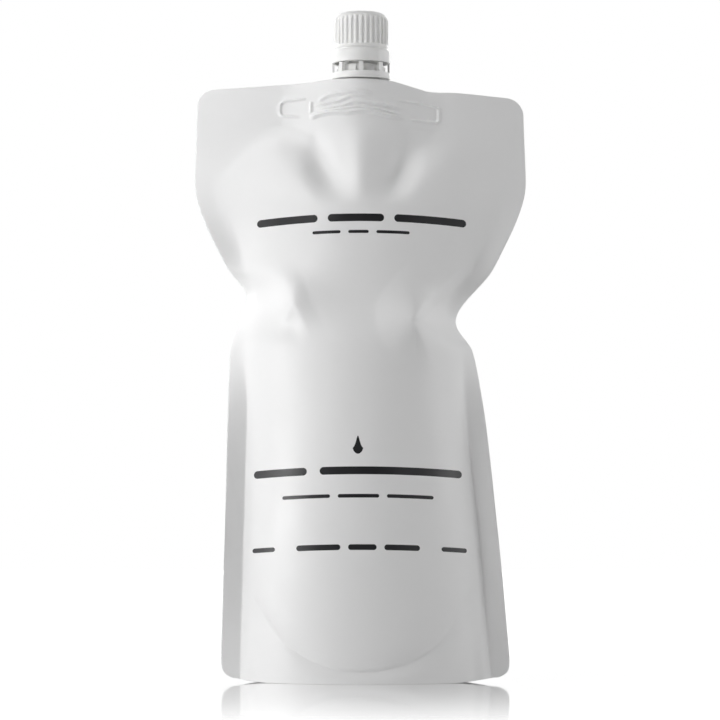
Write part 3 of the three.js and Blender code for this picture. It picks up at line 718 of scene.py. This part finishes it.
def moulded_material(name, colour, roughness):
    """Injection-moulded polyethylene: milky white, waxy, with a fine spark-eroded grain."""
    material, tree, shader = new_material(name)
    place = add_node(tree, "ShaderNodeTexCoord").outputs["Object"]
    scale = 1 / (MOULD_GRAIN_SIZE * MM)
    grain = add_node(tree, "ShaderNodeTexNoise", {"Vector": place, "Scale": scale, "Detail": 2})
    bump = add_node(
        tree,
        "ShaderNodeBump",
        {"Height": grain.outputs["Fac"], "Strength": MOULD_GRAIN_STRENGTH,
         "Distance": MOULD_GRAIN_DEPTH * MM},
    )
    shader.inputs["Base Color"].default_value = srgb(colour)
    shader.inputs["Roughness"].default_value = roughness
    shader.inputs["IOR"].default_value = MOULD_IOR
    shader.inputs["Subsurface Weight"].default_value = MILKINESS
    shader.inputs["Subsurface Radius"].default_value = MILKY_TINT
    shader.inputs["Subsurface Scale"].default_value = MILKY_DEPTH * MM
    tree.links.new(bump.outputs["Normal"], shader.inputs["Normal"])
    return material


def studio_floor():
    """White acrylic sheet: a mirror image under the pack that fades out, and white in the distance."""
    bpy.ops.object.select_all(action="DESELECT")
    bpy.ops.mesh.primitive_plane_add(size=FLOOR_SIZE)
    floor = bpy.context.object
    floor.name = "studio_floor"
    material, tree, shader = new_material("polished_white_acrylic")
    shader.inputs["Base Color"].default_value = srgb(FLOOR_WHITE)
    shader.inputs["Roughness"].default_value = FLOOR_ROUGHNESS
    place = add_node(tree, "ShaderNodeTexCoord").outputs["Object"]
    away = add_node(tree, "ShaderNodeVectorMath", {0: place}, operation="LENGTH")
    fade = add_node(
        tree,
        "ShaderNodeMapRange",
        {"Value": away.outputs["Value"], "From Min": MIRROR_FADE[0], "From Max": MIRROR_FADE[1],
         "To Min": MIRROR_GAIN, "To Max": 0.0},
        interpolation_type="SMOOTHSTEP",
    )
    fresnel = add_node(tree, "ShaderNodeFresnel", {"IOR": ACRYLIC_IOR})
    grazing = add_node(
        tree, "ShaderNodeMath", {0: fresnel.outputs[0], 1: fresnel.outputs[0]}, operation="MULTIPLY"
    )
    mirror = add_node(
        tree,
        "ShaderNodeMath",
        {0: grazing.outputs[0], 1: fade.outputs[0]},
        operation="MULTIPLY",
        use_clamp=True,
    )
    shade = add_node(
        tree,
        "ShaderNodeMapRange",
        {"Value": away.outputs["Value"], "From Min": SHADE_FADE[0], "From Max": SHADE_FADE[1],
         "To Min": FLOOR_SHADE, "To Max": 0.0},
        interpolation_type="SMOOTHSTEP",
    )
    glow = add_node(tree, "ShaderNodeEmission", {"Color": (1, 1, 1, 1), "Strength": FLOOR_GLOW})
    shaded = add_node(tree, "ShaderNodeBsdfDiffuse", {"Color": srgb(FLOOR_WHITE)})
    sheet = add_node(
        tree, "ShaderNodeMixShader", {0: shade.outputs[0], 1: glow.outputs[0], 2: shaded.outputs[0]}
    )
    gloss = add_node(
        tree, "ShaderNodeBsdfGlossy", {"Color": (1, 1, 1, 1), "Roughness": MIRROR_ROUGHNESS}
    )
    seen = add_node(
        tree, "ShaderNodeMixShader", {0: mirror.outputs[0], 1: sheet.outputs[0], 2: gloss.outputs[0]}
    )
    path = add_node(tree, "ShaderNodeLightPath")
    surface = add_node(
        tree,
        "ShaderNodeMixShader",
        {0: path.outputs["Is Camera Ray"], 1: shader.outputs[0], 2: seen.outputs[0]},
    )
    tree.links.new(surface.outputs[0], tree.nodes["Material Output"].inputs["Surface"])
    floor.data.materials.append(material)


def softbox(name, place, aim, width, height, power):
    """A lamp behind a rectangle of white cloth, out of the camera's sight."""
    lamp = bpy.data.lights.new(name, "AREA")
    lamp.shape = "RECTANGLE"
    lamp.size = width
    lamp.size_y = height
    lamp.energy = power
    holder = bpy.data.objects.new(name, lamp)
    bpy.context.scene.collection.objects.link(holder)
    holder.visible_camera = False
    holder.location = place
    holder.rotation_euler = (Vector(aim) - Vector(place)).to_track_quat("-Z", "Y").to_euler()


def studio_world():
    """A dim room, white to the camera, with a white backdrop that shiny surfaces see behind the pack."""
    world = bpy.data.worlds.new("studio")
    bpy.context.scene.world = world
    world.use_nodes = True
    tree = world.node_tree
    tree.nodes.clear()
    path = add_node(tree, "ShaderNodeLightPath")
    direction = add_node(tree, "ShaderNodeTexCoord").outputs["Generated"]
    axis = add_node(tree, "ShaderNodeSeparateXYZ", {0: direction})
    behind = add_node(tree, "ShaderNodeMapRange", {"Value": axis.outputs["Y"], "From Max": BACKDROP_EDGE})
    shiny = add_node(
        tree,
        "ShaderNodeMath",
        {0: path.outputs["Is Glossy Ray"], 1: path.outputs["Is Transmission Ray"]},
        operation="MAXIMUM",
    )
    mirrored = add_node(
        tree, "ShaderNodeMath", {0: shiny.outputs[0], 1: behind.outputs[0]}, operation="MULTIPLY"
    )
    shown = add_node(
        tree,
        "ShaderNodeMath",
        {0: path.outputs["Is Camera Ray"], 1: mirrored.outputs[0]},
        operation="MAXIMUM",
    )
    fill = add_node(tree, "ShaderNodeBackground", {"Color": (1, 1, 1, 1), "Strength": WORLD_FILL})
    white = add_node(tree, "ShaderNodeBackground", {"Color": (1, 1, 1, 1), "Strength": 1.0})
    mix = add_node(
        tree,
        "ShaderNodeMixShader",
        {0: shown.outputs[0], 1: fill.outputs[0], 2: white.outputs[0]},
    )
    add_node(tree, "ShaderNodeOutputWorld", {"Surface": mix.outputs[0]})


def photo_camera():
    """The camera of the photograph."""
    camera = bpy.data.cameras.new("photo_camera")
    holder = bpy.data.objects.new("photo_camera", camera)
    bpy.context.scene.collection.objects.link(holder)
    holder.location = CAMERA_PLACE
    holder.rotation_euler = (Vector(CAMERA_AIM) - Vector(CAMERA_PLACE)).to_track_quat("-Z", "Y").to_euler()
    camera.sensor_width = SENSOR
    camera.lens = SENSOR * -CAMERA_PLACE[1] / VIEW_WIDTH
    camera.clip_start = CAMERA_NEAR
    bpy.context.scene.camera = holder


def dress(piece, material, body, node=None):
    """Gives a piece its material and colour slot and its body to ride, and hides the node that it stands for.
    """
    piece.data.materials.clear()
    piece.data.materials.append(material)
    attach(piece, body)
    if node:
        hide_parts(node)


photo_camera()
film = film_material()
cap_plastic = moulded_material("moulded_polyethylene_cap", CAP_WHITE, CAP_ROUGHNESS)
spout_plastic = moulded_material("moulded_polyethylene_spout", SPOUT_WHITE, SPOUT_ROUGHNESS)

dress(film_pouch(), film, "pack", "pouch")
dress(spout_moulding(), spout_plastic, "pack", "spout")
neck_crest = NECK_RADIUS + THREAD_HEIGHT
neck_thread = thread("neck_thread", NECK_RADIUS - THREAD_SINK, neck_crest, NECK_THREAD_FOOT)
dress(neck_thread, spout_plastic, "pack")
dress(tamper_band(), cap_plastic, "band", "tamper_band")
dress(screw_cap(), cap_plastic, "screw_cap", "cap")
cap_inside = CAP_SIDE - CAP_WALL
cap_crest = cap_inside - THREAD_HEIGHT + THREAD_CLEARANCE
cap_thread = thread("cap_thread", cap_inside + THREAD_SINK, cap_crest, CAP_THREAD_FOOT)
dress(cap_thread, cap_plastic, "screw_cap")

studio_floor()
studio_world()
for name, (place, aim, width, height, power) in SOFTBOXES.items():
    softbox(name, place, aim, width, height, power)
bpy.context.scene.view_settings.view_transform = "Standard"
